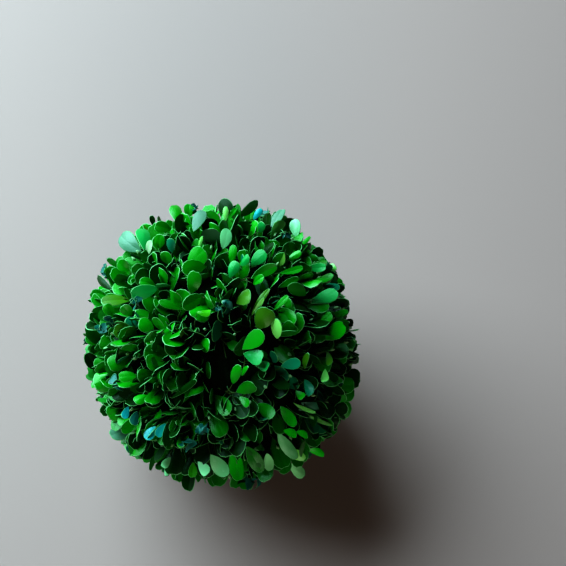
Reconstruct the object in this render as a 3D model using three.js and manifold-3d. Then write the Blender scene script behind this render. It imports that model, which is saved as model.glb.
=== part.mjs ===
// A preserved box topiary ball, 152 mm across, that lies loose on any level surface. Forked sprigs
// of small-leaved box stand all round a plain foam form ball, clipped by hand to a round outline
// with a few shallow hollows, and pressed flat where the ball rests. Millimetres, +Z up, origin
// where the ball rests, under its centre.
import * as THREE from "three";
import { mergeVertices } from "three/addons/utils/BufferGeometryUtils.js";
import Module from "manifold-3d";

const BALL_RADIUS = 76; // the clipped outline that the furthest leaf tips reach
const PRESSED_FLAT = 5; // how far the ball's weight has flattened the leaves that it lies on
const CENTRE_HEIGHT = BALL_RADIUS - PRESSED_FLAT;
const FORM_RADIUS = 50; // the foam ball that the sprigs are pinned to
const MAT_RADIUS = 63; // the packed stems and inner leaves that close over the foam
const STEM_DEPTH = 6; // how far a stem's tip stays inside the clipped outline
const GAP = 0.3; // clear space between neighbouring pieces
const MAT_INNER_RADIUS = FORM_RADIUS + 1.3 * GAP; // a facet of the mat dips a little nearer

const SPRIGS = 96; // about sixteen to each of the six masses
const SPRIG_STRAY = 3; // how far a sprig may stand from its even place
const FOOT_RADIUS = 52; // a sprig's foot, where its stem and its twigs part
const STEM_THICKNESS = 2;
const TWIGS = 3; // to each sprig
const TWIG_END_RADIUS = 58; // within the mat
const TWIG_SPREAD = 8.5; // from the sprig's own line to each twig's end
const TWIG_THICKNESS = 1.6;
const TWIG_LEAN = 0.3; // how much of a twig's lean its leaves keep, as it curves to the light
const SEAM_MARGIN = 1.5; // least distance of a twig's end from the next mass

const LEAF_LENGTH = 20; // larger than life, as there are fewer than on the real ball
const LEAF_WIDTH = 12;
const LEAF_THICKNESS = 0.6;
const LEAF_DOME = 0.7; // how far the middle of a leaf stands above its rim
const LEAF_WIDEST = 0.68; // share of its length at which a leaf is widest
const LEAF_ROOT = 1.5; // how deep a leaf's root is sunk past its twig's end
const LEAF_SHORTEST = 0.5; // the least share of its length that clipping may leave of a leaf
const LEAF_ANGLE = 34; // degrees between a leaf and its twig
const ANGLE_SPREAD = 14; // degrees by which that angle may differ
const ROLL_SPREAD = 35; // degrees that a leaf may turn about its own length
const CLIP_SPREAD = 2.5; // how far inside the outline a leaf's tip may be clipped
const TRIES = 14; // ways to set a leaf, of which the one that crosses the fewest others is kept
const MOST_CROSSED = 3; // a leaf that would cross more others than this is left out

// The hollows that the shears left: where each one's middle is, how deep it is there, and how far
// out it has mostly faded, with angles in degrees
const HOLLOWS = [
  { azimuth: 13, elevation: 7, depth: 7.5, width: 34 },
  { azimuth: 184, elevation: -2, depth: 4, width: 34 },
  { azimuth: 253, elevation: -27, depth: 2.5, width: 34 },
];

// Shares by which lengths vary, and turns in radians
const LENGTH_VARIES = 0.1;
const SPREAD_VARIES = 0.15;
const BEARING_STRAY = 0.4;

const { degToRad } = THREE.MathUtils;
const FULL_TURN = 2 * Math.PI;
const GOLDEN_ANGLE = Math.PI * (3 - Math.sqrt(5));
const MERGE = 1e-3; // corners closer than this are one

const wasm = await Module();
wasm.setup();

// A number from 0 to 1 that is always the same for one sprig, twig or leaf and one purpose
function dice(index, purpose) {
  const wave = Math.sin(index * 12.9898 + purpose * 78.233) * 43758.5453;
  return wave - Math.floor(wave);
}

const swing = (index, purpose) => 2 * dice(index, purpose) - 1;

const along = (from, way, distance) => from.clone().addScaledVector(way, distance);

function direction(colatitude, azimuth) {
  const across = Math.sin(colatitude);
  return new THREE.Vector3(
    across * Math.cos(azimuth),
    across * Math.sin(azimuth),
    Math.cos(colatitude),
  );
}

// The clipped radius towards a point: the ball's, less each hollow's depth times a bell curve of
// the angle to the hollow's middle
function outlineAt(point) {
  return HOLLOWS.reduce((radius, { azimuth, elevation, depth, width }) => {
    const middle = direction(Math.PI / 2 - degToRad(elevation), degToRad(azimuth));
    return radius - depth * Math.exp(-((point.angleTo(middle) / degToRad(width)) ** 2));
  }, BALL_RADIUS);
}

function solidOf(geometry) {
  const bare = geometry.clone();
  bare.deleteAttribute("normal");
  bare.deleteAttribute("uv");
  const merged = mergeVertices(bare, MERGE);
  return new wasm.Manifold(
    new wasm.Mesh({
      numProp: 3,
      vertProperties: merged.attributes.position.array,
      triVerts: new Uint32Array(merged.index.array),
    }),
  );
}

function geometryOf(solid) {
  const mesh = solid.getMesh();
  return new THREE.BufferGeometry()
    .setAttribute("position", new THREE.BufferAttribute(mesh.vertProperties, 3))
    .setIndex(new THREE.BufferAttribute(mesh.triVerts, 1));
}

// The outer skin of the largest body: sealed hollows are filled and loose scraps dropped. Merging
// close corners can pinch off more of them, so this goes on until the merged solid is one body.
function mainBody(solid) {
  const bodies = solidOf(geometryOf(solid)).decompose();
  if (bodies.length === 1) return solid;
  return mainBody(bodies.reduce((a, b) => (a.volume() > b.volume() ? a : b)));
}

// The six masses are the faces of a cube that stands on one corner: three crown masses meet at
// the top of the ball, and three foot masses meet under it.
const CUBE_CORNER = Math.atan(Math.SQRT2);
const RINGS = [
  { name: "crown", colatitude: CUBE_CORNER, turn: 0 },
  { name: "foot", colatitude: Math.PI - CUBE_CORNER, turn: 60 },
];

const MASSES = RINGS.flatMap(({ name, colatitude, turn }) =>
  [0, 120, 240].map((step, i) => ({
    name: `${name}_${i + 1}`,
    centre: direction(colatitude, degToRad(turn + step)),
  })),
);

// A mass's four neighbours are the cube's faces at a right angle to its own
const neighboursOf = (mass) =>
  MASSES.filter((other) => Math.abs(other.centre.dot(mass.centre)) < 0.5);

// The planes that part a mass from its neighbours, each facing into the mass
const seamsOf = (mass) =>
  neighboursOf(mass).map((other) => mass.centre.clone().sub(other.centre).normalize());

// A mass's space: a four-sided pyramid with its point just outside the ball's centre, so that
// its sides stand half a gap back from the seams
function spaceOf(mass) {
  const depth = 2 * BALL_RADIUS;
  const point = (GAP / 2) * Math.SQRT2;
  const pyramid = new THREE.ConeGeometry(Math.SQRT2 * depth, depth, 4);
  pyramid.rotateX(-Math.PI / 2).translate(0, 0, depth / 2 + point);
  const toCorner = neighboursOf(mass)[0].centre.clone().applyAxisAngle(mass.centre, Math.PI / 4);
  const toNext = mass.centre.clone().cross(toCorner);
  return solidOf(
    pyramid.applyMatrix4(new THREE.Matrix4().makeBasis(toCorner, toNext, mass.centre)),
  );
}

const icosphere = (radius) => solidOf(new THREE.IcosahedronGeometry(radius, 3));
const CORE = icosphere(MAT_RADIUS);

// The mat of stems: a shell of the ball, clear of the foam, cut to the mass's own space
const matOf = (mass) => CORE.subtract(icosphere(MAT_INNER_RADIUS)).intersect(spaceOf(mass));

// The point moved, if need be, until it is clear of every seam
function clearOfSeams(point, seams) {
  const clear = point.clone();
  for (const seam of seams) {
    clear.addScaledVector(seam, Math.max(0, SEAM_MARGIN - seam.dot(clear)));
  }
  return clear;
}

function cornersOf(geometry) {
  const place = geometry.attributes.position;
  return Array.from({ length: place.count }, (_, i) =>
    new THREE.Vector3().fromBufferAttribute(place, i),
  );
}

const keepsToSpace = (geometry, seams) =>
  cornersOf(geometry).every(
    (corner) =>
      corner.length() < BALL_RADIUS && seams.every((seam) => seam.dot(corner) > GAP / 2),
  );

// A three-sided tapering stem or twig from one point to another
function twigBetween(from, to, thickness) {
  const length = from.distanceTo(to);
  const twig = new THREE.ConeGeometry(thickness / 2, length, 3).translate(0, length / 2, 0);
  const upright = new THREE.Vector3(0, 1, 0);
  const turn = new THREE.Quaternion().setFromUnitVectors(upright, to.clone().sub(from).normalize());
  return twig.applyQuaternion(turn).translate(...from);
}

// A box leaf, its root at the origin and its length along +Y: an octahedron pressed thin, widest
// past its middle, with its top and its underside both raised into a low dome
function leafShape(length) {
  const leaf = new THREE.OctahedronGeometry(1);
  const place = leaf.attributes.position;
  for (let i = 0; i < place.count; i += 1) {
    const [x, y, z] = [place.getX(i), place.getY(i), place.getZ(i)];
    const run = LEAF_WIDEST + y * (y > 0 ? 1 - LEAF_WIDEST : LEAF_WIDEST);
    const lift = LEAF_DOME * Math.abs(z) + (LEAF_THICKNESS / 2) * z;
    place.setXYZ(i, (LEAF_WIDTH / 2) * x, length * run, lift);
  }
  return leaf;
}

function placedLeaf(root, axis, face, length) {
  const side = axis.clone().cross(face);
  return leafShape(length).applyMatrix4(
    new THREE.Matrix4().makeBasis(side, axis, face).setPosition(root),
  );
}

// How long a leaf may be before its tip passes the clipped outline
function clippedLength(root, axis, outline) {
  const across = root.dot(axis);
  return -across + Math.sqrt(across ** 2 + outline ** 2 - root.lengthSq());
}

// One way to set a leaf of a twig's pair, or null if the leaf would leave the mass's space. Its
// upper face is turned to the twig, and later tries stand straighter.
function leafTry(twig, half, index, attempt, seams) {
  const luck = (purpose) => swing(index, 10 * attempt + purpose);
  const opened = LEAF_ANGLE * (1 - attempt / TRIES) + ANGLE_SPREAD * luck(3);
  const angle = degToRad(opened);
  const roll = degToRad(ROLL_SPREAD * luck(4));
  const bearing = twig.turn + half * Math.PI + BEARING_STRAY * attempt * luck(5);
  const aside = twig.side.clone().applyAxisAngle(twig.way, bearing);
  const axis = along(twig.way.clone().multiplyScalar(Math.cos(angle)), aside, Math.sin(angle));
  const face = along(twig.way.clone().multiplyScalar(Math.sin(angle)), aside, -Math.cos(angle));
  face.applyAxisAngle(axis, roll);
  const root = along(twig.end, axis, -LEAF_ROOT);
  const room = clippedLength(root, axis, outlineAt(root) - CLIP_SPREAD * luck(6) ** 2);
  const length = Math.min(room, LEAF_LENGTH * (1 + LENGTH_VARIES * luck(7)));
  const leaf = placedLeaf(root, axis, face, length);
  if (length < LEAF_SHORTEST * LEAF_LENGTH || !keepsToSpace(leaf, seams)) return null;
  return { leaf, middle: along(root, axis, length / 2), standing: solidOf(leaf).subtract(CORE) };
}

// How many of the leaves already placed a leaf would cross where it stands out of the mat
const crossings = (tried, placed) =>
  placed.filter(
    (other) =>
      other.middle.distanceTo(tried.middle) < LEAF_LENGTH &&
      !other.standing.intersect(tried.standing).isEmpty(),
  ).length;

// The first way to set a leaf that crosses no other, or else the one that crosses the fewest
function leafOn(twig, half, index, seams, placed) {
  let best = null;
  for (let attempt = 0; attempt < TRIES && best?.crossed !== 0; attempt += 1) {
    const tried = leafTry(twig, half, index, attempt, seams);
    if (tried) tried.crossed = crossings(tried, placed);
    if (tried && tried.crossed < (best?.crossed ?? MOST_CROSSED + 1)) best = tried;
  }
  return best;
}

// The sprigs' places: an even spiral over the whole ball, from which each strays a little
function sprigLines(mass, seams) {
  const lines = [];
  for (let i = 0; i < SPRIGS; i += 1) {
    const even = direction(Math.acos(1 - (2 * i + 1) / SPRIGS), i * GOLDEN_ANGLE);
    const closest = MASSES.reduce((a, b) => (a.centre.dot(even) > b.centre.dot(even) ? a : b));
    if (closest !== mass) continue;
    const stray = new THREE.Vector3(swing(i, 0), swing(i, 1), swing(i, 2));
    const end = along(even.multiplyScalar(TWIG_END_RADIUS), stray, SPRIG_STRAY);
    lines.push({ line: clearOfSeams(end, seams).normalize(), index: i });
  }
  return lines;
}

// The twigs of a sprig: they part at its foot, spread evenly round its line and bend outward
function twigsOf({ line, index }, foot, seams) {
  const level = new THREE.Vector3(0, 0, 1).cross(line).normalize();
  const centre = line.clone().multiplyScalar(TWIG_END_RADIUS);
  return Array.from({ length: TWIGS }, (_, k) => {
    const branch = TWIGS * index + k;
    const bearing = FULL_TURN * (dice(index, 8) + k / TWIGS) + BEARING_STRAY * swing(branch, 9);
    const outward = level.clone().applyAxisAngle(line, bearing);
    const spread = TWIG_SPREAD * (1 + SPREAD_VARIES * swing(branch, 8));
    const end = clearOfSeams(along(centre, outward, spread), seams);
    const lean = end.clone().sub(foot).normalize();
    const way = along(end.clone().normalize(), lean, TWIG_LEAN).normalize();
    const side = way.clone().cross(outward).normalize();
    return { branch, end, way, side, turn: FULL_TURN * dice(branch, 7) };
  });
}

// A sprig: a stem that stands out of the mat and twigs that part from its foot, each twig with a
// pair of opposite leaves
function sprigSolids(sprig, seams, placed) {
  const foot = sprig.line.clone().multiplyScalar(FOOT_RADIUS);
  const tip = sprig.line.clone().multiplyScalar(outlineAt(sprig.line) - STEM_DEPTH);
  const solids = [twigBetween(foot, tip, STEM_THICKNESS)];
  for (const twig of twigsOf(sprig, foot, seams)) {
    solids.push(twigBetween(foot, twig.end, TWIG_THICKNESS));
    for (const half of [0, 1]) {
      const set = leafOn(twig, half, 2 * twig.branch + half, seams, placed);
      if (!set) continue;
      solids.push(set.leaf);
      placed.push(set);
    }
  }
  return solids.map(solidOf);
}

// One mass of foliage: its mat with every sprig fused on, cut flat where the ball rests
function foliageMass(mass) {
  const seams = seamsOf(mass);
  const placed = [];
  const sprigs = sprigLines(mass, seams).flatMap((sprig) => sprigSolids(sprig, seams, placed));
  const whole = wasm.Manifold.union([matOf(mass), ...sprigs]);
  const side = 4 * BALL_RADIUS;
  const room = new THREE.BoxGeometry(side, side, side).translate(0, 0, side / 2 - CENTRE_HEIGHT);
  return mainBody(whole.intersect(solidOf(room)));
}

// The dry green foam ball inside
function formBall() {
  const look = new THREE.MeshStandardMaterial({ color: 0x4b5a35, roughness: 0.95, metalness: 0 });
  const form = new THREE.Mesh(new THREE.IcosahedronGeometry(FORM_RADIUS, 3), look);
  form.name = "form_ball";
  return form;
}

function massMesh(mass) {
  const look = new THREE.MeshStandardMaterial({ color: 0x1f6b1a, roughness: 0.45, metalness: 0 });
  const foliage = new THREE.Mesh(geometryOf(foliageMass(mass)), look);
  foliage.name = mass.name;
  return foliage;
}

const ball = new THREE.Group();
ball.position.z = CENTRE_HEIGHT;
ball.add(formBall(), ...MASSES.map(massMesh));

export default ball;
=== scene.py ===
import bpy
import numpy as np
from mathutils import Matrix, Vector


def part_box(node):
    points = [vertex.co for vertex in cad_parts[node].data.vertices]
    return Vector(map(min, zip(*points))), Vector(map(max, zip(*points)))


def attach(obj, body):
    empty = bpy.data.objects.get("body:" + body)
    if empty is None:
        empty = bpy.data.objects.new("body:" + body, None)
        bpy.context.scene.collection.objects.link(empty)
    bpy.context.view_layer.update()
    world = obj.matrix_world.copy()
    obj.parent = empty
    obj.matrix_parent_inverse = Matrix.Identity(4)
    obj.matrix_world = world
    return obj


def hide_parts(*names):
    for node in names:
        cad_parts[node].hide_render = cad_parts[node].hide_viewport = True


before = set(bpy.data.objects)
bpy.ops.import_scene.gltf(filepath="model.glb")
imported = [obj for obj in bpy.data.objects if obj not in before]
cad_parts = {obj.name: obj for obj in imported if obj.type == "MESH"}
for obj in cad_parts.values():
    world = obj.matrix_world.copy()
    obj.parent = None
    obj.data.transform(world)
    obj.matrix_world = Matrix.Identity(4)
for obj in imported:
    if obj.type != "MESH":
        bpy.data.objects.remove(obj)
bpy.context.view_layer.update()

# The camera looks down on the ball from the photograph's height. The ball lies left of the
# picture's middle and below it, so the camera aims past the ball.
PICTURE_SIDE = 566
BALL_PIXEL = np.array([224, 346])
LENS = 91
SENSOR = 36
CAMERA_DISTANCE = 0.737
CAMERA_ELEVATION = np.radians(62)
form_low, form_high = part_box("form_ball")
CENTRE = np.array((form_low + form_high) / 2)

RIGHT = np.array([1, 0, 0])
UP = np.array([0, np.sin(CAMERA_ELEVATION), np.cos(CAMERA_ELEVATION)])
AHEAD = np.array([0, np.cos(CAMERA_ELEVATION), -np.sin(CAMERA_ELEVATION)])


def line_of_sight(pixel):
    """The way from the camera through a pixel, one long along the camera's axis: straight ahead,
    and aside by the pixel's distance from the picture's middle over the lens's own in pixels."""
    pixels = PICTURE_SIDE * LENS / SENSOR
    across = (pixel[..., :1] - PICTURE_SIDE / 2) / pixels
    above = (PICTURE_SIDE / 2 - pixel[..., 1:]) / pixels
    return AHEAD + across * RIGHT + above * UP


CAMERA_PLACE = CENTRE - CAMERA_DISTANCE * line_of_sight(BALL_PIXEL)
camera = bpy.data.objects.new("camera", bpy.data.cameras.new("camera"))
camera.data.lens = LENS
camera.data.sensor_width = SENSOR
turned = Matrix((RIGHT, UP, -AHEAD)).transposed().to_4x4()
camera.matrix_world = Matrix.Translation(Vector(CAMERA_PLACE)) @ turned
bpy.context.scene.collection.objects.link(camera)
bpy.context.scene.camera = camera


# The form ball that the sprigs are pinned to is dry green floral foam, cut round, and closed in
# by the mat. Its own solid stays, with the open crumbly cells of the foam.
FOAM_COLOUR = (0.075, 0.11, 0.035, 1)
FOAM_CELL = 0.0006
FOAM_DETAIL = 2
FOAM_ROUGHNESS = (0.85, 1)


def new_look(name, colour, roughness=0.5):
    """A Principled material of one plain colour, with its node tree and its shader."""
    look = bpy.data.materials.new(name)
    look.use_nodes = True
    shader = look.node_tree.nodes["Principled BSDF"]
    shader.inputs["Base Color"].default_value = colour
    shader.inputs["Roughness"].default_value = roughness
    return look, look.node_tree, shader


def noise_on(tree, scale, detail):
    """Noise in the piece's own coordinates, in cells per metre."""
    coordinates = tree.nodes.new("ShaderNodeTexCoord")
    noise = tree.nodes.new("ShaderNodeTexNoise")
    noise.inputs["Scale"].default_value = scale
    noise.inputs["Detail"].default_value = detail
    tree.links.new(coordinates.outputs["Object"], noise.inputs["Vector"])
    return noise.outputs["Fac"]


def relief(tree, shader, height, distance):
    """Bump of that distance from a height between 0 and 1."""
    bump = tree.nodes.new("ShaderNodeBump")
    bump.inputs["Distance"].default_value = distance
    tree.links.new(height, bump.inputs["Height"])
    tree.links.new(bump.outputs["Normal"], shader.inputs["Normal"])


def uneven_gloss(tree, shader, fac, low, high):
    """Roughness from low to high as a factor goes from 0 to 1."""
    spread = tree.nodes.new("ShaderNodeMapRange")
    spread.inputs["To Min"].default_value = low
    spread.inputs["To Max"].default_value = high
    tree.links.new(fac, spread.inputs["Value"])
    tree.links.new(spread.outputs["Result"], shader.inputs["Roughness"])


def grained_look(name, colour, grain, detail, depth, roughness, glint=0.5):
    """A material with a grain: one noise both raises the skin by up to a depth and spreads the
    roughness between two values. The glint is how strongly it mirrors."""
    look, tree, shader = new_look(name, colour)
    shader.inputs["Specular IOR Level"].default_value = glint
    noise = noise_on(tree, grain, detail)
    relief(tree, shader, noise, depth)
    uneven_gloss(tree, shader, noise, *roughness)
    return look


foam = grained_look(
    "dry_foam", FOAM_COLOUR, 1 / FOAM_CELL, FOAM_DETAIL, FOAM_CELL, FOAM_ROUGHNESS
)
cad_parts["form_ball"].material_slots[0].material = foam


# The mat that closes over the foam is the feet of the sprigs with shed scraps among them, in
# heavy shade, and its near-black colour is painted shade. It is one closed ball with a ridged and
# pitted skin.
MAT_RADIUS = 0.0575
MAT_RELIEF = 0.0025
MAT_ROWS, MAT_COLUMNS = 88, 176
MAT_WAVES = 14
MAT_WAVE_NUMBERS = (6, 34)
MAT_SEED = 3
# Painted shade: the mat's near-black colour stands for the shade in the gaps between the leaves
MAT_PAINTED_SHADE_COLOUR = (0.003, 0.010, 0.002, 1)
MAT_GLINT = 0.05
MAT_SCRAPS = 260
MAT_DETAIL = 6
MAT_SCRAP_DEPTH = 0.0015
MAT_ROUGHNESS = (0.7, 1)
FULL_TURN = 2 * np.pi
CUBE_CORNER = np.arctan(np.sqrt(2))
MASSES_IN_RING = 3
MASS_STEP = 360 / MASSES_IN_RING


def direction(colatitude, azimuth):
    """The unit vector at a colatitude from +Z and an azimuth from +X, on a last axis of three."""
    across = np.sin(colatitude)
    parts = [across * np.cos(azimuth), across * np.sin(azimuth), np.cos(colatitude)]
    return np.stack(parts, axis=-1)


# The ways to the six masses' middles, which lie like the faces of a cube that stands on a corner
RINGS = [("crown", CUBE_CORNER, 0), ("foot", np.pi - CUBE_CORNER, MASS_STEP / 2)]
MASSES = {
    f"{ring}_{number + 1}": direction(colatitude, np.radians(turn + MASS_STEP * number))
    for ring, colatitude, turn in RINGS
    for number in range(MASSES_IN_RING)
}


def lumps(ways):
    """A smooth pattern from about -1 to 1 on the sphere: sine waves along random lines, summed
    and divided by the root of their number."""
    rng = np.random.default_rng(MAT_SEED)
    lines = rng.normal(size=(MAT_WAVES, 3)) * rng.uniform(*MAT_WAVE_NUMBERS, size=(MAT_WAVES, 1))
    phases = rng.uniform(0, FULL_TURN, size=MAT_WAVES)
    return np.sin(ways @ lines.T + phases).sum(-1) / np.sqrt(MAT_WAVES)


def wrapped_mesh(name, points):
    """A mesh of like closed skins, from their corners on axes of skin, row, column and coordinate.
    The columns run round the skin, and the corners of its first row and of its last row are each
    one point, an end, round which the faces are a fan."""
    skins, rows, columns = points.shape[:3]
    corners = np.concatenate(
        [points[:, :1, 0], points[:, 1:-1].reshape(skins, -1, 3), points[:, -1:, 0]], axis=1
    )
    here = np.arange(columns)
    after = np.roll(here, -1)
    ring = 1 + columns * np.arange(rows - 3)[:, None]
    last = 1 + columns * (rows - 3)
    end = corners.shape[1] - 1
    quads = [ring + here, ring + columns + here, ring + columns + after, ring + after]
    first_fan = np.stack([np.zeros(columns, int), 1 + here, 1 + after], axis=-1)
    last_fan = np.stack([last + here, np.full(columns, end), last + after], axis=-1)
    one_skin = [first_fan.ravel(), np.stack(quads, axis=-1).ravel(), last_fan.ravel()]
    loops = np.concatenate(one_skin) + corners.shape[1] * np.arange(skins)[:, None]
    sizes = np.tile([3] * columns + [4] * columns * (rows - 3) + [3] * columns, skins)
    mesh = bpy.data.meshes.new(name)
    mesh.vertices.add(corners.shape[0] * corners.shape[1])
    mesh.vertices.foreach_set("co", (CENTRE + corners).astype(np.float32).ravel())
    mesh.loops.add(loops.size)
    mesh.loops.foreach_set("vertex_index", loops.astype(np.int32).ravel())
    mesh.polygons.add(sizes.size)
    mesh.polygons.foreach_set("loop_start", (np.cumsum(sizes) - sizes).astype(np.int32))
    mesh.update(calc_edges=True)
    mesh.shade_smooth()
    return mesh


def new_piece(mesh, slot, *nodes):
    """Puts a mesh into the scene as a piece of the ball that stands for these nodes."""
    piece = bpy.data.objects.new(mesh.name, mesh)
    bpy.context.scene.collection.objects.link(piece)
    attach(piece, "root")
    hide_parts(*nodes)
    return piece


mat_colatitude = np.linspace(0, np.pi, MAT_ROWS)[:, None]
mat_azimuth = np.arange(MAT_COLUMNS) * FULL_TURN / MAT_COLUMNS
mat_ways = direction(*np.broadcast_arrays(mat_colatitude, mat_azimuth))
mat_radii = MAT_RADIUS + MAT_RELIEF * lumps(mat_ways)
mat_mesh = wrapped_mesh("mat_of_stems", (mat_ways * mat_radii[..., None])[None])
mat_look = grained_look(
    "shaded_mat", MAT_PAINTED_SHADE_COLOUR, MAT_SCRAPS, MAT_DETAIL, MAT_SCRAP_DEPTH, MAT_ROUGHNESS, MAT_GLINT
)
mat_mesh.materials.append(mat_look)
new_piece(mat_mesh, "foliage", *MASSES)


# The sprigs stand in an even spiral all over the ball. From each one's foot a stem and three
# thin woody twigs part, and each ends in two fine green shoots that carry the leaves.
BALL_RADIUS = 0.076
SPRIGS = 96
SPRIG_STRAY = 0.003
FOOT_RADIUS = 0.052
TWIGS = 3
TWIG_END_RADIUS = 0.058
TWIG_SPREAD = 0.0085
TWIG_LEAN = 0.3
SPREAD_VARIES = 0.15
BEARING_STRAY = 0.4
TWIG_THICKNESS = 0.0013
SHOOTS = 2
SHOOT_SPREAD = 0.0036
SHOOT_FAN = np.radians(9)
SHOOT_TILT = np.radians(18)
SHOOT_REACH = 0.006
SHOOT_THICKNESS = 0.0008
TUBE_ROWS, TUBE_SIDES = 7, 5
TUBE_TAPER = 0.5
NO_TWIG_WAY = [0.31, 0.87, 0.38]
GOLDEN_ANGLE = np.pi * (3 - np.sqrt(5))
DICE_STEP, DICE_JUMP, DICE_MULTIPLE = 12.9898, 78.233, 43758.5453
BARK_COLOUR = (0.05, 0.10, 0.012, 1)
BARK_GRAIN = 900
BARK_DETAIL = 4
BARK_GRAIN_DEPTH = 0.0002
BARK_ROUGHNESS = (0.45, 0.8)


def dice(index, purpose):
    """A number from 0 to 1 that an index and a purpose fix: what follows the point in a large
    multiple of a sine. Purposes are numbers too, so that one index gives many draws."""
    wave = np.sin(index * DICE_STEP + purpose * DICE_JUMP) * DICE_MULTIPLE
    return wave - np.floor(wave)


def swing(index, purpose):
    """The same, from -1 to 1."""
    return 2 * dice(index, purpose) - 1


def scatter(index, purpose):
    """Vectors whose coordinates are the swings for a purpose and for the two after it."""
    return np.stack([swing(index, purpose + step) for step in range(3)], axis=-1)


def unit(vectors):
    """Each vector over its own length."""
    return vectors / np.linalg.norm(vectors, axis=-1, keepdims=True)


def turned_about(vectors, axes, angles):
    """Each vector turned about its unit axis: its part along the axis stays, and the rest is
    shared between itself and its cross product by the angle's cosine and sine."""
    kept = (vectors * axes).sum(-1, keepdims=True) * axes
    aside = np.cos(angles)[..., None] * (vectors - kept)
    return kept + aside + np.sin(angles)[..., None] * np.cross(axes, vectors)


def spiral(count):
    """Even ways all over the ball: heights in equal steps, and a golden angle from each to the
    next."""
    step = np.arange(count)
    return direction(np.arccos(1 - (2 * step + 1) / count), step * GOLDEN_ANGLE)


# Twigs are on axes of sprig and place, with the stem in the first place
sprig = np.arange(SPRIGS)[:, None]
place = np.arange(TWIGS + 1)
even = spiral(SPRIGS)[:, None]
line = unit(TWIG_END_RADIUS * even + SPRIG_STRAY * scatter(sprig, 0))
level = unit(np.cross([0, 0, 1], line))
mass_of_sprig = np.argmax(even[:, 0] @ np.array(list(MASSES.values())).T, axis=1)
twig = np.where(place == 0, TWIGS * SPRIGS + sprig, TWIGS * sprig + place - 1)
bearing = FULL_TURN * (dice(sprig, 8) + (place - 1) / TWIGS) + BEARING_STRAY * swing(twig, 9)
outward = turned_about(level, line, bearing)
spread = np.where(place == 0, 0, TWIG_SPREAD * (1 + SPREAD_VARIES * swing(twig, 8)))
foot = np.broadcast_to(FOOT_RADIUS * line, outward.shape)
twig_end = TWIG_END_RADIUS * line + spread[..., None] * outward
twig_way = unit(unit(twig_end) + TWIG_LEAN * unit(twig_end - foot))
twig_side = unit(np.cross(twig_way, outward))

# Shoots have one axis more. They stand round their twig's end, and lean out from it and at random
shoot_place = np.arange(SHOOTS)
shoot = twig[..., None] * SHOOTS + shoot_place
from_way = twig_way[:, :, None]
round_twig = FULL_TURN * (dice(twig, 27)[..., None] + shoot_place / SHOOTS)
shoot_side = turned_about(twig_side[:, :, None], from_way, round_twig)
shoot_base = twig_end[:, :, None] + SHOOT_SPREAD * np.cross(shoot_side, from_way)
shoot_way = turned_about(from_way, shoot_side, SHOOT_FAN)
tilt_line = turned_about(shoot_side, shoot_way, FULL_TURN * dice(shoot, 26))
tilt = SHOOT_TILT * np.sqrt(dice(shoot, 25))
shoot_way = turned_about(shoot_way, tilt_line, tilt)
shoot_side = turned_about(shoot_side, tilt_line, tilt)


def tube_rows(start, bend, end, girth):
    """Rows of corners round bent tubes. The middle line is the curve that leaves its start towards
    the bend and comes to its end from there, and each row is a circle across it of half the
    girth, which is one for each row."""
    t = np.linspace(0, 1, len(girth))[:, None, None]
    middle = (1 - t) ** 2 * start[:, None, None] + t**2 * end[:, None, None]
    middle = middle + 2 * t * (1 - t) * bend[:, None, None]
    ahead = unit(end - start)
    across = unit(np.cross(ahead, NO_TWIG_WAY))
    beside = np.cross(across, ahead)
    around = (np.arange(TUBE_SIDES) * FULL_TURN / TUBE_SIDES)[:, None]
    ways = np.cos(around) * across[:, None, None] + np.sin(around) * beside[:, None, None]
    return middle + girth[:, None, None] / 2 * ways


def tapering(thickness):
    """A twig's girth in each row: closed at both ends, and thinner towards the tip."""
    girth = thickness * (1 - TUBE_TAPER * np.linspace(0, 1, TUBE_ROWS))
    girth[[0, -1]] = 0
    return girth


bark = grained_look(
    "green_bark", BARK_COLOUR, BARK_GRAIN, BARK_DETAIL, BARK_GRAIN_DEPTH, BARK_ROUGHNESS
)
twig_middle = (foot + twig_end) / 2
shoot_tip = shoot_base + SHOOT_REACH * shoot_way
shoot_foot = np.broadcast_to(twig_middle[:, :, None], shoot_tip.shape)
for number, mass in enumerate(MASSES):
    own = mass_of_sprig == number
    twig_points = [v[own].reshape(-1, 3) for v in (foot, twig_middle, twig_end)]
    shoot_points = [v[own].reshape(-1, 3) for v in (shoot_foot, shoot_base, shoot_tip)]
    tubes = [tube_rows(*twig_points, tapering(TWIG_THICKNESS))]
    tubes.append(tube_rows(*shoot_points, tapering(SHOOT_THICKNESS)))
    twigs = wrapped_mesh(f"twigs_{mass}", np.concatenate(tubes))
    twigs.materials.append(bark)
    new_piece(twigs, "twig", mass)


# Where a shoot still grows it ends in a small pale bud, pointed, with its scales closed. About
# a third of the shoots have one, which stands on the shoot's tip.
BUDDING = 0.35
BUD_LENGTH = 0.0032
BUD_THICKNESS = 0.0017
BUD_FULLNESS = 0.8
BUD_COLOUR = (0.30, 0.52, 0.24, 1)
BUD_SCALES = 1200
BUD_DETAIL = 2
BUD_SCALE_DEPTH = 0.0001
BUD_ROUGHNESS = (0.4, 0.7)

bud_look = grained_look(
    "pale_bud", BUD_COLOUR, BUD_SCALES, BUD_DETAIL, BUD_SCALE_DEPTH, BUD_ROUGHNESS
)
budding = dice(shoot, 31) < BUDDING
bud_foot, bud_way = shoot_tip[budding], shoot_way[budding]
bud_tip = bud_foot + BUD_LENGTH * bud_way
bud_girth = BUD_THICKNESS * np.sin(np.pi * np.linspace(0, 1, TUBE_ROWS) ** BUD_FULLNESS)
buds = wrapped_mesh("tip_buds", tube_rows(bud_foot, (bud_foot + bud_tip) / 2, bud_tip, bud_girth))
buds.materials.append(bud_look)
new_piece(buds, "twig", *MASSES)
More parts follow.
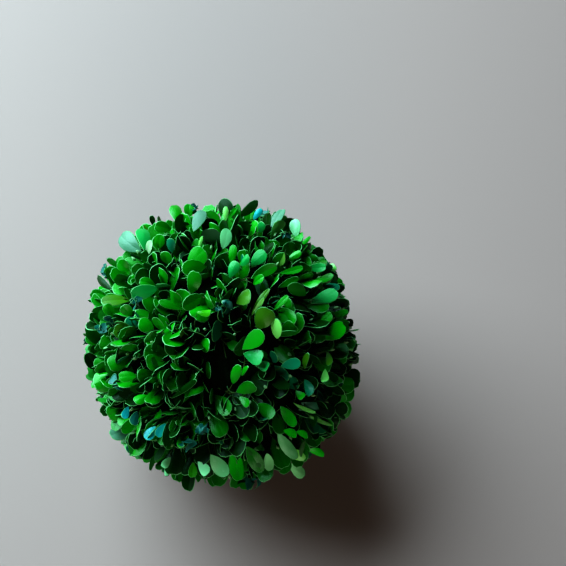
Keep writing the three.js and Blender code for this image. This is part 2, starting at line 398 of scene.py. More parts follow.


# Box leaves are small, blunt and leathery, with a groove down the middle and a thin paler edge,
# whose colour is also a painted rim highlight.
# The hundred listed here stand proud of the rest or lie turned among them, each on a fine twig
# that grows on from the nearest twig's end, and are set by where they show from the camera.
LEAF_BREADTH = 0.53
BREADTH_VARIES = 0.16
LEAF_THICKNESS = 0.00024
LEAF_ROOT = 0.0008
LEAF_SPOKES = 14
TIP_CROWDING = 0.3
LEAF_MIDDLE = 0.55
LEAF_CREASE = np.radians(30)
NOTCH_WIDTH = 0.25
NOTCH_START, NOTCH_RISE = 0.9, 0.1
NOTCH_DEPTH = 0.05
LEAF_SHAPE = {
    "bend": (0.12, 0.20, 13),
    "arch": (0.13, 0.12, 14),
    "fold": (0.09, 0.08, 15),
    "twist": (0, 0.16, 16),
    "sway": (0, 0.10, 19),
    "narrows": (0.62, 0.28, 20),
}
RING_SHARES = np.array([0, 0.52, 0.96, 1, 0])
RING_LAYERS = np.array([1, 1, 1, -1, -1])
UPPER, EDGE, UNDER = 0, 1, 2
BAND_SIDES = np.array([UPPER, UPPER, EDGE, UNDER])
REST_ZONE = 0.003
HOLLOWS = [
    {"azimuth": 13, "elevation": 7, "depth": 0.0075, "width": 34},
    {"azimuth": 184, "elevation": -2, "depth": 0.0040, "width": 34},
    {"azimuth": 253, "elevation": -27, "depth": 0.0025, "width": 34},
]
LEAF_TINTS = {
    # Near-black green: a dark leaf green painted darker still as shade
    "deep": {"share": 0.24, "upper": (0.0005, 0.035, 0.0005), "under": (0.001, 0.04, 0.002)},
    # Teal green, partly a painted teal sheen
    "teal_and_sheen": {"share": 0.03, "upper": (0.003, 0.20, 0.10), "under": (0.012, 0.20, 0.12)},
    # Its underside is darker than its upper side: painted shade in the gaps
    "mid": {"share": 0.45, "upper": (0.0005, 0.22, 0.001), "under": (0.003, 0.15, 0.006)},
    "yellow": {"share": 0.025, "upper": (0.055, 0.19, 0.006), "under": (0.09, 0.23, 0.03)},
    "fresh": {"share": 0.01, "upper": (0.26, 0.72, 0.16), "under": (0.36, 0.74, 0.26)},
    "pale": {"share": 0.015, "upper": (0.08, 0.21, 0.12), "under": (0.10, 0.25, 0.15)},
    # Green with a painted teal sheen
    "glaucous": {"share": 0.01, "upper": (0.006, 0.30, 0.06), "under": (0.02, 0.30, 0.09)},
    # Pale grey-green with a painted whitish sheen
    "silver": {"share": 0, "upper": (0.22, 0.62, 0.28), "under": (0.26, 0.64, 0.32)},
    "stained": {"share": 0, "upper": (0.002, 0.10, 0.075), "under": (0.006, 0.14, 0.11)},
    "cyan": {"share": 0, "upper": (0.01, 0.42, 0.44), "under": (0.03, 0.40, 0.42)},
    "cream": {"share": 0.001, "upper": (0.36, 0.56, 0.30), "under": (0.44, 0.60, 0.36)},
    # Bright green that is painted light, for leaves that lie in shade
    "light": {"share": 0, "upper": (0.003, 0.60, 0.005), "under": (0.01, 0.50, 0.02)},
    "lime": {"share": 0, "upper": (0.04, 0.32, 0.002), "under": (0.14, 0.56, 0.02)},
    # Whitish green that is painted light, for leaves low in the shade
    "milky": {"share": 0, "upper": (0.42, 0.96, 0.46), "under": (0.46, 0.92, 0.50)},
    # Its underside is darker than its upper side: painted shade in the gaps
    "bright": {"share": 0.3, "upper": (0.002, 0.30, 0.004), "under": (0.008, 0.22, 0.014)},
}
# A paler leaf margin, made brighter still as a painted rim highlight that shows even in shade
MARGIN_AND_HIGHLIGHT_COLOUR = (0.12, 0.38, 0.13)
SHEEN, DULL_SHEEN = 0.36, 0.15
LEAF_SIDES = [("leaf", "upper", (0.28, 0.46)), ("under", "under", (0.45, 0.62))]
EDGE_ROUGHNESS = (0.4, 0.5)
WAX_PATCHES = 420
WAX_DETAIL = 3
LEAF_PITS = 1500
PIT_DETAIL = 2
PIT_DEPTH = 0.00006
WINDOW_WAY = np.array([-0.62, 0.56, 0.55])
STANDING_TIP_DEPTH = 0.0005
STANDING_ROOT_DEPTH = 0.0075
STANDING_STALK = 0.0006
LONGEST_LEAF = 0.0185
STANDING_FIRST = 9000
STANDING_NARROWS, STANDING_NARROWS_MORE = 0.25, 0.2
STANDING_SHAPE = {"arch": (0.12, 0.1, 14), "fold": (0.06, 0.08, 15)}
STANDING_BEND = 0.42
BEND_STEEPNESS = 2
BEND_VARIES = 0.06
CLEARED_REACH = 0.014
CLEARED_SHARE = 0.42
LEAST_CLEARED = 0.0075
STANDING_LEAVES = [
    {"root": (141, 251), "tip": (120, 234), "breadth": 0.0095, "tint": "pale", "lit": -0.6},
    {"root": (144, 250), "tip": (140, 227), "breadth": 0.0075, "tint": "glaucous", "lit": -0.4},
    {"root": (149, 253), "tip": (152, 240), "breadth": 0.0050, "tint": "cream", "lit": 0.6},
    {"root": (172, 252), "tip": (170, 237), "breadth": 0.0050, "tint": "teal_and_sheen", "lit": 0.9},
    {"root": (178, 224), "tip": (174, 204), "breadth": 0.0065, "tint": "mid", "lit": -0.3},
    {"root": (194, 231), "tip": (204, 209), "breadth": 0.0065, "tint": "pale", "lit": 0.7},
    {"root": (226, 220), "tip": (225, 205), "breadth": 0.0030, "tint": "fresh", "lit": 0.2},
    {"root": (235, 216), "tip": (219, 200), "breadth": 0.0080, "tint": "deep", "lit": -0.8},
    {"root": (239, 216), "tip": (259, 200), "breadth": 0.0080, "tint": "mid", "lit": -0.9},
    {"root": (271, 231), "tip": (281, 208), "breadth": 0.0065, "tint": "pale", "lit": 0.7},
    {"root": (297, 238), "tip": (294, 218), "breadth": 0.0060, "tint": "silver", "lit": 0.2},
    {"root": (223, 248), "tip": (230, 228), "breadth": 0.0060, "tint": "silver", "lit": 0.0},
    {"root": (231, 262), "tip": (236, 244), "breadth": 0.0045, "tint": "bright", "lit": 0.4},
    {"root": (230, 277), "tip": (237, 260), "breadth": 0.0060, "tint": "glaucous", "lit": 0.4},
    {"root": (241, 265), "tip": (250, 256), "breadth": 0.0045, "tint": "glaucous", "lit": 0.4},
    {"root": (251, 265), "tip": (267, 251), "breadth": 0.0065, "tint": "glaucous", "lit": 0.1},
    {"root": (252, 278), "tip": (277, 263), "breadth": 0.0055, "tint": "mid", "lit": 0.0},
    {"root": (287, 260), "tip": (302, 250), "breadth": 0.0040, "tint": "bright", "lit": 0.6},
    {"root": (280, 273), "tip": (305, 268), "breadth": 0.0035, "tint": "bright", "lit": 0.4},
    {"root": (307, 268), "tip": (328, 269), "breadth": 0.0045, "tint": "glaucous", "lit": -0.1},
    {"root": (313, 282), "tip": (333, 272), "breadth": 0.0055, "tint": "mid", "lit": 0.8},
    {"root": (279, 287), "tip": (300, 277), "breadth": 0.0035, "tint": "mid", "lit": 0.0},
    {"root": (305, 295), "tip": (290, 282), "breadth": 0.0065, "tint": "mid", "lit": -0.9},
    {"root": (312, 303), "tip": (337, 289), "breadth": 0.0085, "tint": "glaucous", "lit": 1.0},
    {"root": (325, 339), "tip": (347, 325), "breadth": 0.0078, "tint": "light", "lit": 0.2},
    {"root": (274, 310), "tip": (289, 294), "breadth": 0.0032, "tint": "bright", "lit": 0.4},
    {"root": (252, 315), "tip": (268, 286), "breadth": 0.0030, "tint": "yellow", "lit": 0.4},
    {"root": (237, 303), "tip": (251, 291), "breadth": 0.0088, "tint": "yellow", "lit": 0.8},
    {"root": (258, 328), "tip": (270, 307), "breadth": 0.0095, "tint": "yellow", "lit": 0.2},
    {"root": (277, 338), "tip": (279, 318), "breadth": 0.0062, "tint": "fresh", "lit": 0.5},
    {"root": (243, 349), "tip": (264, 331), "breadth": 0.0080, "tint": "bright", "lit": 0.2},
    {"root": (244, 354), "tip": (264, 360), "breadth": 0.0075, "tint": "glaucous", "lit": -0.2},
    {"root": (233, 383), "tip": (239, 363), "breadth": 0.0050, "tint": "bright", "lit": 0.3},
    {"root": (237, 392), "tip": (256, 384), "breadth": 0.0065, "tint": "mid", "lit": -0.1},
    {"root": (259, 404), "tip": (275, 418), "breadth": 0.0065, "tint": "mid", "lit": 0.1},
    {"root": (281, 407), "tip": (297, 427), "breadth": 0.0055, "tint": "bright", "lit": 0.5},
    {"root": (294, 403), "tip": (317, 415), "breadth": 0.0020, "tint": "fresh", "lit": 0.9},
    {"root": (305, 412), "tip": (334, 424), "breadth": 0.0020, "tint": "fresh", "lit": 0.9},
    {"root": (282, 366), "tip": (302, 362), "breadth": 0.0055, "tint": "teal_and_sheen", "lit": -0.1},
    {"root": (305, 380), "tip": (313, 396), "breadth": 0.0050, "tint": "teal_and_sheen", "lit": 0.6},
    {"root": (325, 369), "tip": (323, 383), "breadth": 0.0042, "tint": "fresh", "lit": 0.5},
    {"root": (211, 455), "tip": (227, 478), "breadth": 0.0075, "tint": "silver", "lit": -0.2},
    {"root": (235, 448), "tip": (238, 483), "breadth": 0.0080, "tint": "light", "lit": -0.5},
    {"root": (247, 447), "tip": (264, 472), "breadth": 0.0070, "tint": "mid", "lit": -0.4},
    {"root": (267, 454), "tip": (272, 472), "breadth": 0.0055, "tint": "milky", "lit": -0.5},
    {"root": (198, 462), "tip": (210, 474), "breadth": 0.0055, "tint": "milky", "lit": -0.5},
    {"root": (278, 433), "tip": (295, 462), "breadth": 0.0060, "tint": "silver", "lit": -0.3},
    {"root": (305, 441), "tip": (299, 455), "breadth": 0.0050, "tint": "lime", "lit": -0.6},
    {"root": (290, 464), "tip": (305, 478), "breadth": 0.0062, "tint": "milky", "lit": -0.7},
    {"root": (308, 450), "tip": (326, 455), "breadth": 0.0045, "tint": "light", "lit": -0.7},
    {"root": (288, 450), "tip": (305, 462), "breadth": 0.0055, "tint": "fresh", "lit": -0.7},
    {"root": (284, 431), "tip": (298, 436), "breadth": 0.0045, "tint": "light", "lit": -0.6},
    {"root": (297, 432), "tip": (309, 437), "breadth": 0.0040, "tint": "light", "lit": -0.6},
    {"root": (193, 463), "tip": (194, 479), "breadth": 0.0045, "tint": "lime", "lit": -0.4},
    {"root": (158, 288), "tip": (129, 296), "breadth": 0.0070, "tint": "glaucous", "lit": 0.0},
    {"root": (189, 267), "tip": (205, 248), "breadth": 0.0095, "tint": "bright", "lit": 0.4},
    {"root": (206, 266), "tip": (180, 268), "breadth": 0.0075, "tint": "mid", "lit": 0.3},
    {"root": (191, 293), "tip": (198, 270), "breadth": 0.0070, "tint": "mid", "lit": 0.0},
    {"root": (201, 296), "tip": (181, 307), "breadth": 0.0070, "tint": "mid", "lit": -0.2},
    {"root": (197, 312), "tip": (211, 314), "breadth": 0.0034, "tint": "lime", "lit": 0.3},
    {"root": (153, 328), "tip": (137, 322), "breadth": 0.0070, "tint": "bright", "lit": 0.4},
    {"root": (131, 315), "tip": (122, 304), "breadth": 0.0055, "tint": "bright", "lit": 0.7},
    {"root": (96, 368), "tip": (84, 353), "breadth": 0.0065, "tint": "deep", "lit": -0.8},
    {"root": (136, 376), "tip": (117, 378), "breadth": 0.0055, "tint": "bright", "lit": 0.4},
    {"root": (172, 398), "tip": (198, 379), "breadth": 0.0030, "tint": "deep", "lit": 0.4},
    {"root": (147, 396), "tip": (133, 402), "breadth": 0.0055, "tint": "bright", "lit": 0.4},
    {"root": (155, 427), "tip": (144, 440), "breadth": 0.0055, "tint": "cyan", "lit": 0.4},
    {"root": (165, 424), "tip": (156, 438), "breadth": 0.0045, "tint": "cyan", "lit": -0.1},
    {"root": (128, 407), "tip": (124, 420), "breadth": 0.0040, "tint": "cyan", "lit": -0.2},
    {"root": (137, 412), "tip": (132, 426), "breadth": 0.0045, "tint": "stained", "lit": -0.2},
    {"root": (260, 232), "tip": (263, 221), "breadth": 0.0045, "tint": "glaucous", "lit": 0.4},
    {"root": (254, 219), "tip": (262, 207), "breadth": 0.0035, "tint": "cyan", "lit": 0.3},
    {"root": (299, 247), "tip": (312, 236), "breadth": 0.0022, "tint": "bright", "lit": 0.4},
    {"root": (229, 218), "tip": (238, 207), "breadth": 0.0025, "tint": "bright", "lit": 0.4},
    {"root": (254, 284), "tip": (264, 274), "breadth": 0.0040, "tint": "bright", "lit": 0.3},
    {"root": (328, 305), "tip": (349, 302), "breadth": 0.0035, "tint": "deep", "lit": -0.4},
    {"root": (332, 315), "tip": (350, 312), "breadth": 0.0035, "tint": "bright", "lit": 0.3},
    {"root": (222, 294), "tip": (243, 278), "breadth": 0.0050, "tint": "deep", "lit": -0.6},
    {"root": (281, 308), "tip": (297, 322), "breadth": 0.0045, "tint": "mid", "lit": -0.9},
    {"root": (321, 322), "tip": (333, 313), "breadth": 0.0055, "tint": "mid", "lit": 0.6},
    {"root": (253, 314), "tip": (266, 297), "breadth": 0.0022, "tint": "fresh", "lit": 0.0},
    {"root": (256, 362), "tip": (269, 369), "breadth": 0.0050, "tint": "glaucous", "lit": 0.0},
    {"root": (242, 375), "tip": (249, 366), "breadth": 0.0028, "tint": "bright", "lit": 0.4},
    {"root": (240, 397), "tip": (250, 406), "breadth": 0.0040, "tint": "mid", "lit": -0.2},
    {"root": (296, 391), "tip": (304, 399), "breadth": 0.0040, "tint": "bright", "lit": 0.6},
    {"root": (327, 351), "tip": (331, 366), "breadth": 0.0035, "tint": "yellow", "lit": 0.2},
    {"root": (305, 368), "tip": (309, 352), "breadth": 0.0035, "tint": "yellow", "lit": 0.6},
    {"root": (159, 248), "tip": (161, 233), "breadth": 0.0058, "tint": "bright", "lit": 0.6},
    {"root": (168, 263), "tip": (166, 250), "breadth": 0.0060, "tint": "bright", "lit": 0.6},
    {"root": (171, 230), "tip": (154, 223), "breadth": 0.0060, "tint": "mid", "lit": 0.0},
    {"root": (154, 226), "tip": (151, 214), "breadth": 0.0028, "tint": "deep", "lit": 0.0},
    {"root": (188, 218), "tip": (191, 203), "breadth": 0.0055, "tint": "bright", "lit": 0.0},
    {"root": (199, 248), "tip": (204, 236), "breadth": 0.0020, "tint": "fresh", "lit": 0.5},
    {"root": (129, 270), "tip": (116, 262), "breadth": 0.0058, "tint": "bright", "lit": 0.0},
    {"root": (113, 290), "tip": (95, 279), "breadth": 0.0040, "tint": "deep", "lit": -0.2},
    {"root": (154, 285), "tip": (138, 280), "breadth": 0.0050, "tint": "bright", "lit": 0.5},
    {"root": (182, 309), "tip": (157, 302), "breadth": 0.0040, "tint": "mid", "lit": 0.5},
    {"root": (112, 317), "tip": (105, 303), "breadth": 0.0050, "tint": "light", "lit": 0.5},
    {"root": (166, 463), "tip": (168, 477), "breadth": 0.0026, "tint": "milky", "lit": 0.1},
    {"root": (170, 458), "tip": (161, 468), "breadth": 0.0040, "tint": "milky", "lit": 0.1},
]


def leaf_rows(root, axis, face, form):
    """Rows of corners over and under each leaf. Its outline goes round from the root: the share
    along is half of one less the turn's cosine, and the share across is the turn's sine, narrowed
    towards the root by a power of the share along. Each row is the outline shrunk towards the
    middle. The surface is raised by a fold, which grows with the share across, and by a bend,
    which is nought at both ends and a quarter of itself halfway along, and lowered by an arch,
    which grows with the square of the share across. A twist grows with the product of both
    shares, a sway with the square of the share along, and a notch draws in the tip's middle."""
    form = {name: values[:, None, None] for name, values in form.items()}
    around = np.arange(LEAF_SPOKES) * FULL_TURN / LEAF_SPOKES
    around = around + TIP_CROWDING * np.sin(around)
    run = (1 - np.cos(around)) / 2
    width = np.sin(around) * run ** form["narrows"]
    shares = RING_SHARES[:, None]
    across = shares * width / width.max(-1, keepdims=True)
    along = LEAF_MIDDLE + shares * (run - LEAF_MIDDLE)
    length, breadth = form["length"], form["breadth"]
    past_start = np.clip(along - NOTCH_START, 0, 1)
    at_tip = np.exp(-((across / NOTCH_WIDTH) ** 2)) * past_start / NOTCH_RISE
    over = form["fold"] * np.abs(across) - form["arch"] * across**2 + form["twist"] * across * along
    over = breadth * over + LEAF_THICKNESS / 2 * RING_LAYERS[:, None]
    over = over + length * form["bend"] * along * (1 - along)
    ahead = length * (along - form["notch"] * at_tip)
    beside = breadth / 2 * across + length * form["sway"] * along**2
    axes = [v[:, None, None] for v in (np.cross(axis, face), axis, face)]
    parts = [u[..., None] * v for u, v in zip((beside, ahead, over), axes)]
    return root[:, None, None] + sum(parts)


def bell(points, ways, widths):
    """How near each point's direction is to unit ways: the exponential of less the square of the
    angle between them over a width in degrees."""
    off = np.arccos(np.clip(unit(points) @ ways.T, -1, 1))
    return np.exp(-((off / np.radians(widths)) ** 2))


def outline_at(points):
    """The clipped radius in each point's direction: the ball's, less each hollow's depth times
    the bell curve of the angle to the hollow's middle."""
    radius = BALL_RADIUS
    for hollow in HOLLOWS:
        middle = direction(np.radians(90 - hollow["elevation"]), np.radians(hollow["azimuth"]))
        radius = radius - hollow["depth"] * bell(points, middle, hollow["width"])
    return radius


def clipped(points, root, outline):
    """Leaves that pass the clipped outline, shrunk towards their roots until they keep to it.
    The share is the root of the quadratic for where the line to the furthest corner meets it."""
    corners = points.reshape(len(points), -1, 3)
    furthest = np.linalg.norm(corners, axis=-1).argmax(1)
    out = corners[np.arange(len(points)), furthest] - root
    square = (out**2).sum(-1)
    across = (root * out).sum(-1) / square
    room = (outline**2 - (root**2).sum(-1)) / square
    share = np.clip(np.sqrt(across**2 + room) - across, 0, 1)
    base = root[:, None, None]
    return base + share[:, None, None, None] * (points - base)


def rested(points):
    """The ball's weight presses its lowest leaves: below a thin zone over the ground heights fall
    off by an exponential, so that the leaves close up and never pass the ground."""
    height = points[..., 2] + CENTRE[2]
    pressed = REST_ZONE * np.exp(np.minimum(height / REST_ZONE - 1, 0))
    points[..., 2] = np.where(height < REST_ZONE, pressed, height) - CENTRE[2]
    return points


def drawn_shape(index, shape):
    """Every value of a shape: a middle, and a spread times the swing for a purpose."""
    return {
        name: middle + spread * swing(index, purpose)
        for name, (middle, spread, purpose) in shape.items()
    }


def leaf_form(index, length):
    """Every value of a leaf's shape: its own length, and the rest drawn by its index."""
    return {
        "length": length,
        "breadth": length * LEAF_BREADTH * (1 + BREADTH_VARIES * swing(index, 11)),
        "notch": NOTCH_DEPTH * dice(index, 17),
        **drawn_shape(index, LEAF_SHAPE),
    }


def leaf_look(name, colour, roughness):
    """A leaf's skin: finely pitted, and waxed in patches. The near-black painted-shade tint is
    dullest.
    """
    look, tree, shader = new_look(name, (*colour, 1))
    shader.inputs["Specular IOR Level"].default_value = DULL_SHEEN if "deep" in name else SHEEN
    patches = noise_on(tree, WAX_PATCHES, WAX_DETAIL)
    relief(tree, shader, noise_on(tree, LEAF_PITS, PIT_DETAIL), PIT_DEPTH)
    uneven_gloss(tree, shader, patches, *roughness)
    return look


# The looks of every tint's upper side, of every tint's underside, and of the edge, in that order
leaf_looks = [
    leaf_look(f"{prefix}_{name}", tint[side], roughness)
    for prefix, side, roughness in LEAF_SIDES
    for name, tint in LEAF_TINTS.items()
]
leaf_looks.append(leaf_look("leaf_edge", MARGIN_AND_HIGHLIGHT_COLOUR, EDGE_ROUGHNESS))


def leaf_piece(name, points, tint, *nodes):
    """A piece of joined leaves. Each has its tint's upper side, the pale edge, which is partly a
    painted rim highlight, and its tint's underside, and the middle line of its upper side is a
    crease."""
    mesh = wrapped_mesh(name, points)
    tints = len(LEAF_TINTS)
    slots = np.stack([tint, np.full_like(tint, 2 * tints), tint + tints], axis=-1)
    slots = np.repeat(slots[:, BAND_SIDES], LEAF_SPOKES, axis=1)
    mesh.polygons.foreach_set("material_index", slots.astype(np.int32).ravel())
    mesh.set_sharp_from_angle(angle=LEAF_CREASE)
    corners_of_leaf = 2 + LEAF_SPOKES * (len(RING_SHARES) - 2)
    half_round = LEAF_SPOKES // 2
    in_middle = [0, 1, 1 + half_round, 1 + LEAF_SPOKES, 1 + LEAF_SPOKES + half_round]
    ends = np.empty(2 * len(mesh.edges), np.int32)
    mesh.edges.foreach_get("vertices", ends)
    creased = np.isin(ends.reshape(-1, 2) % corners_of_leaf, in_middle).all(1)
    sharp = np.empty(len(mesh.edges), bool)
    mesh.edges.foreach_get("use_edge_sharp", sharp)
    mesh.edges.foreach_set("use_edge_sharp", sharp | creased)
    for look in leaf_looks:
        mesh.materials.append(look)
    return new_piece(mesh, "foliage", *nodes)


def point_at(pixels, radius):
    """Where the lines of sight through pixels meet a ball of that radius: the line's closest
    point to the centre, less half the chord, or that point itself where the line passes by."""
    sight = unit(line_of_sight(pixels))
    from_centre = CAMERA_PLACE - CENTRE
    closest = from_centre - (sight @ from_centre)[:, None] * sight
    half_chord = np.sqrt(np.maximum(radius**2 - (closest**2).sum(-1), 0))
    return closest - half_chord[:, None] * sight


def no_longer(roots, tips):
    """Roots drawn along their lines of sight towards the place as far off as the tip, until no
    leaf is longer than the longest. The way left is one leg of a right triangle whose long
    side is the longest leaf and whose other leg is how far apart root and tip show."""
    eye = CAMERA_PLACE - CENTRE
    abreast = eye + np.linalg.norm(tips - eye, axis=-1, keepdims=True) * unit(roots - eye)
    apart = np.linalg.norm(tips - abreast, axis=-1)
    way_left = np.sqrt(np.maximum(LONGEST_LEAF**2 - apart**2, 0))
    share = np.clip(way_left / np.linalg.norm(roots - abreast, axis=-1), 0, 1)
    return abreast + share[:, None] * (roots - abreast)


def screened(points, middle, way, girth):
    """Which points stand in a column that runs from one of the middles along its way: those
    ahead of it, within reach, and nearer to the way's line than half the column's girth."""
    off = points[:, None] - middle
    ahead = (off * way).sum(-1)
    aside = (off**2).sum(-1) - ahead**2
    return ((ahead > 0) & (ahead < CLEARED_REACH) & (aside < (girth / 2) ** 2)).any(1)


def listed(rows, key):
    """The same value of every row in a list."""
    return np.array([row[key] for row in rows])


def square_to(axes, vectors):
    """Unit vectors square to unit axes: each vector less its part along its axis, made one long."""
    return unit(vectors - (vectors * axes).sum(-1, keepdims=True) * axes)


to_window = unit(WINDOW_WAY)
tip_pixels = listed(STANDING_LEAVES, "tip")
root_pixels = listed(STANDING_LEAVES, "root")
standing_radius = outline_at(point_at(tip_pixels, BALL_RADIUS))
standing_tip = point_at(tip_pixels, standing_radius - STANDING_TIP_DEPTH)
standing_root = point_at(root_pixels, standing_radius - STANDING_ROOT_DEPTH)
standing_root = no_longer(standing_root, standing_tip)
standing_axis = unit(standing_tip - standing_root)
to_camera = unit(CAMERA_PLACE - CENTRE - standing_root)
tint_names = list(LEAF_TINTS)
standing_tint = np.array([tint_names.index(leaf["tint"]) for leaf in STANDING_LEAVES])
to_window_by = listed(STANDING_LEAVES, "lit")[:, None]
standing_face = square_to(standing_axis, to_camera + to_window_by * to_window)
standing_index = STANDING_FIRST + np.arange(len(STANDING_LEAVES))
standing_length = np.linalg.norm(standing_tip - standing_root, axis=-1)
standing_form = leaf_form(standing_index, standing_length)
standing_form["breadth"] = listed(STANDING_LEAVES, "breadth")
standing_form.update(drawn_shape(standing_index, STANDING_SHAPE))
narrows_more = STANDING_NARROWS_MORE * dice(standing_index, 20)
standing_form["narrows"] = STANDING_NARROWS + narrows_more
to_light = np.clip(BEND_STEEPNESS * (standing_axis * to_window).sum(-1), -1, 1)
standing_form["bend"] = STANDING_BEND * to_light + BEND_VARIES * swing(standing_index, 13)
standing_base = standing_root - STANDING_STALK * standing_axis
points = leaf_rows(standing_base, standing_axis, standing_face, standing_form)
leaf_piece("standing_leaves", rested(points), standing_tint, *MASSES)

# Columns that start two thirds along the standing leaves are kept clear of the other leaves
standing_middle = (standing_root + 2 * standing_tip) / 3
standing_girth = CLEARED_SHARE * (standing_length + standing_form["breadth"])
standing_girth = np.maximum(standing_girth, LEAST_CLEARED)

twig_ends = twig_end.reshape(-1, 3)
nearest = np.linalg.norm(standing_root[:, None] - twig_ends, axis=-1).argmin(1)
grown_from = twig_ends[nearest]
half_way = np.linalg.norm(standing_root - grown_from, axis=-1, keepdims=True) / 2
bend = grown_from + half_way * twig_way.reshape(-1, 3)[nearest]
stalk_rows = tube_rows(grown_from, bend, standing_root, tapering(SHOOT_THICKNESS))
stalks = wrapped_mesh("standing_twigs", stalk_rows)
stalks.materials.append(bark)
new_piece(stalks, "twig", *MASSES)


# Shed scraps of dried leaf have caught among the tips. They are small, stained blue-green, and
# crumpled, so each is a knot of short leaves with a hard bend and twist.
SCRAP_PIXELS = [
    (217, 306), (226, 307), (102, 328), (109, 321), (135, 302), (284, 234), (202, 430), (118, 385),
    (187, 445),
]
SCRAPS_ROUND = 36
MOST_SHOWN = 0.3
SCRAP_DEPTH = 0.003
SCRAP_CURLS = 4
SCRAP_FIRST = 7000
SCRAP_LENGTH = 0.0058
SCRAP_LENGTH_VARIES = 0.4
SCRAP_BREADTH = 0.0034
SCRAP_BREADTH_VARIES = 0.3
SCRAP_SHAPE = {"bend": (0, 1.2, 9), "arch": (0, 0.6, 10), "twist": (0, 1.2, 12)}
SCRAP_STRAY = 0.0016

# Nine scraps are set by where they show, and the ball's far side has more in an even spiral
scrap_pixels = np.array(SCRAP_PIXELS)
near_radius = outline_at(point_at(scrap_pixels, BALL_RADIUS)) - SCRAP_DEPTH
near_scraps = point_at(scrap_pixels, near_radius)
far_ways = spiral(SCRAPS_ROUND)
far_ways = far_ways[far_ways @ to_camera.mean(0) < MOST_SHOWN]
far_scraps = (outline_at(far_ways) - SCRAP_DEPTH)[:, None] * far_ways
scrap_middle = np.concatenate([near_scraps, far_scraps])

curl = SCRAP_FIRST + np.arange(SCRAP_CURLS * len(scrap_middle))
curl_middle = np.repeat(scrap_middle, SCRAP_CURLS, axis=0)
curl_axis = unit(scatter(curl, 1))
curl_face = unit(np.cross(curl_axis, scatter(curl, 4)))
curl_form = leaf_form(curl, SCRAP_LENGTH * (1 + SCRAP_LENGTH_VARIES * swing(curl, 7)))
curl_form["breadth"] = SCRAP_BREADTH * (1 + SCRAP_BREADTH_VARIES * swing(curl, 8))
curl_form.update(drawn_shape(curl, SCRAP_SHAPE))
curl_root = curl_middle + SCRAP_STRAY * scatter(curl, 15) - SCRAP_LENGTH / 2 * curl_axis
curl_points = leaf_rows(curl_root, curl_axis, curl_face, curl_form)
curl_points = rested(clipped(curl_points, curl_middle, outline_at(curl_middle)))
curl_tint = np.full(len(curl), tint_names.index("stained"))
leaf_piece("shed_scraps", curl_points, curl_tint, *MASSES)


# All the other leaves stand in opposite pairs along the shoots, each pair turned a quarter from
# the last and closer to the shoot, and their faces turn a little to the sky. The shears clipped
# those past the outline but for a few that they missed, and some places are thin, with their tints
# painted darker there as shade.
PAIR_PLACES = np.array([-0.0065, -0.0035, 0.0005])
PAIR_ANGLES = np.radians([34, 22, 12])
PAIR_LENGTHS = np.array([0.0142, 0.0162, 0.0152])
LEAVES_IN_PAIR = 2
PAIR_TURN = 0.25
TURN_SPREAD = 0.3
PLACE_SPREAD = 0.0060
ANGLE_SPREAD = np.radians(14)
ROLL_SPREAD = np.radians(36)
SKY_WAY = np.array([-0.72, 0.06, 1.45])
SKYWARD = 0.8
LENGTH_VARIES = 0.26
TWO_DRAWS_SWING = 1.4
OWN_TINT = 0.5
MISSING = 0.14
BROKEN_SHOOTS = 0.12
CLIP_SPREAD = 0.008
MISSED = 0.04
MISSED_BY = 0.003
TESTED_SHARES = (0.35, 0.7, 1)
THIN_PLACES = [
    {"pixel": (226, 350), "width": 16},
    {"pixel": (268, 388), "width": 14},
    {"pixel": (322, 402), "width": 14},
    {"pixel": (232, 390), "width": 13},
    {"pixel": (345, 395), "width": 15},
]
THIN_MISSING = 0.6
# Painted shade: tints are pushed darker in the thin places
THIN_PAINTED_SHADE = 0.7
# Painted light and shade: tints lean lighter towards the window's side and darker away from it
PAINTED_LIGHT_SIDE = np.array([-0.7, 0.6, 0.1])
PAINTED_LIGHT_BY = 0.2

# Leaves have two axes more than shoots: the pair, and the leaf's side of the shoot
pair = np.arange(len(PAIR_PLACES))[:, None]
half = np.arange(LEAVES_IN_PAIR)
leaf = (shoot[..., None, None] * len(PAIR_PLACES) + pair) * LEAVES_IN_PAIR + half
own_way, own_side, own_base = [v[..., None, None, :] for v in (shoot_way, shoot_side, shoot_base)]
turns = dice(shoot, 7)[..., None, None] + pair * PAIR_TURN + half / LEAVES_IN_PAIR
turn = FULL_TURN * turns + TURN_SPREAD * swing(leaf, 5)
aside = turned_about(own_side, own_way, turn)
opened = PAIR_ANGLES[pair] + ANGLE_SPREAD * swing(leaf, 3)
axis = own_way * np.cos(opened)[..., None] + aside * np.sin(opened)[..., None]
face = own_way * np.sin(opened)[..., None] - aside * np.cos(opened)[..., None]
face = turned_about(face, axis, ROLL_SPREAD * swing(leaf, 4))
face = square_to(axis, face + SKYWARD * unit(SKY_WAY))
lifted = PAIR_PLACES[pair] + PLACE_SPREAD * swing(shoot, 10)[..., None, None]
root = own_base + lifted[..., None] * own_way - LEAF_ROOT * axis
both_draws = swing(leaf, 7) + swing(shoot, 12)[..., None, None]
vigour = 1 + LENGTH_VARIES * both_draws / TWO_DRAWS_SWING
form = leaf_form(leaf, PAIR_LENGTHS[pair] * vigour)
mass_of_leaf = np.broadcast_to(mass_of_sprig[:, None, None, None, None], leaf.shape)

# A leaf's tint is drawn by itself or for its whole shoot. It is painted darker in the thin places,
# as shade, and leans lighter towards the window and darker away from it, as painted light and shade
thin_ways = unit(point_at(listed(THIN_PLACES, "pixel"), BALL_RADIUS))
thin = bell(own_base, thin_ways, listed(THIN_PLACES, "width")).max(-1)
tint_edges = np.cumsum(listed(LEAF_TINTS.values(), "share"))
chance = np.where(dice(leaf, 22) < OWN_TINT, dice(leaf, 23), dice(shoot, 21)[..., None, None])
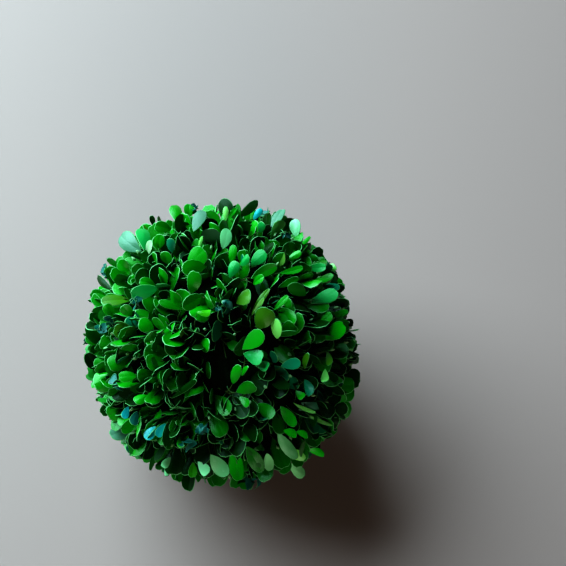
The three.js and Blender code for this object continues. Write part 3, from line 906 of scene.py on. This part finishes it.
# Painted light and shade: lighter tints towards the window, darker away from it
painted_light_lean = even[:, 0] @ unit(PAINTED_LIGHT_SIDE)
chance = chance + PAINTED_LIGHT_BY * painted_light_lean[:, None, None, None, None]
chance = np.clip(chance - THIN_PAINTED_SHADE * thin, 0, 1)
tint_of_leaf = np.searchsorted(tint_edges / tint_edges[-1], chance)

# Missing are leaves here and there, whole broken shoots, and leaves that would hide the hundred
there = dice(leaf, 18) >= MISSING + THIN_MISSING * thin
there &= dice(shoot, 30)[..., None, None] >= BROKEN_SHOOTS
for share in TESTED_SHARES:
    reached = (root + share * form["length"][..., None] * axis).reshape(-1, 3)
    for way in (to_camera, to_window):
        cleared = screened(reached, standing_middle, way, standing_girth)
        there &= ~cleared.reshape(there.shape)

for number, mass in enumerate(MASSES):
    own = there & (mass_of_leaf == number)
    own_form = {name: values[own] for name, values in form.items()}
    points = leaf_rows(root[own], axis[own], face[own], own_form)
    outline = outline_at(root[own]) - CLIP_SPREAD * dice(leaf[own], 6) ** 2
    outline = outline + MISSED_BY * (dice(leaf[own], 33) < MISSED)
    points = rested(clipped(points, root[own], outline))
    leaf_piece(f"leaves_{mass}", points, tint_of_leaf[own], mass)


# A plain floor of warm grey, a large soft light from the back on the left, and a weak one from
# the front, so that the ball's near right side is in shade
UNIT_SQUARE = np.array([(-0.5, -0.5, 0), (0.5, -0.5, 0), (0.5, 0.5, 0), (-0.5, 0.5, 0)])
FLOOR_SIDE = 6
FLOOR_COLOUR = (0.36, 0.225, 0.21, 1)
FLOOR_ROUGHNESS = 0.7
WORLD_COLOUR = (0.8, 0.9, 1, 1)
WORLD_STRENGTH = 0.002
LIGHTS = [
    {
        "name": "window", "way": WINDOW_WAY, "away": 1.3, "side": 1.6, "power": 65,
        "colour": (0.58, 0.93, 1),
    },
    {
        "name": "fill", "way": (0.05, -1, 0.3), "away": 1.5, "side": 0.6, "power": 5.5,
        "colour": (0.92, 1, 0.82),
    },
]

floor_mesh = bpy.data.meshes.new("floor")
floor_mesh.from_pydata((FLOOR_SIDE * UNIT_SQUARE).tolist(), [], [(0, 1, 2, 3)])
floor_mesh.materials.append(new_look("floor", FLOOR_COLOUR, FLOOR_ROUGHNESS)[0])
floor = bpy.data.objects.new("floor", floor_mesh)
bpy.context.scene.collection.objects.link(floor)

for light in LIGHTS:
    data = bpy.data.lights.new(light["name"], "AREA")
    data.size = light["side"]
    data.energy = light["power"]
    data.color = light["colour"]
    lamp = bpy.data.objects.new(light["name"], data)
    to_lamp = Vector(light["way"]).normalized()
    aimed = to_lamp.to_track_quat("Z", "Y").to_matrix().to_4x4()
    lamp.matrix_world = Matrix.Translation(Vector(CENTRE) + light["away"] * to_lamp) @ aimed
    bpy.context.scene.collection.objects.link(lamp)

world = bpy.data.worlds.new("soft_room")
world.use_nodes = True
background = world.node_tree.nodes["Background"]
background.inputs["Color"].default_value = WORLD_COLOUR
background.inputs["Strength"].default_value = WORLD_STRENGTH
bpy.context.scene.world = world
bpy.context.scene.view_settings.view_transform = "Standard"
bpy.context.scene.view_settings.look = "High Contrast"
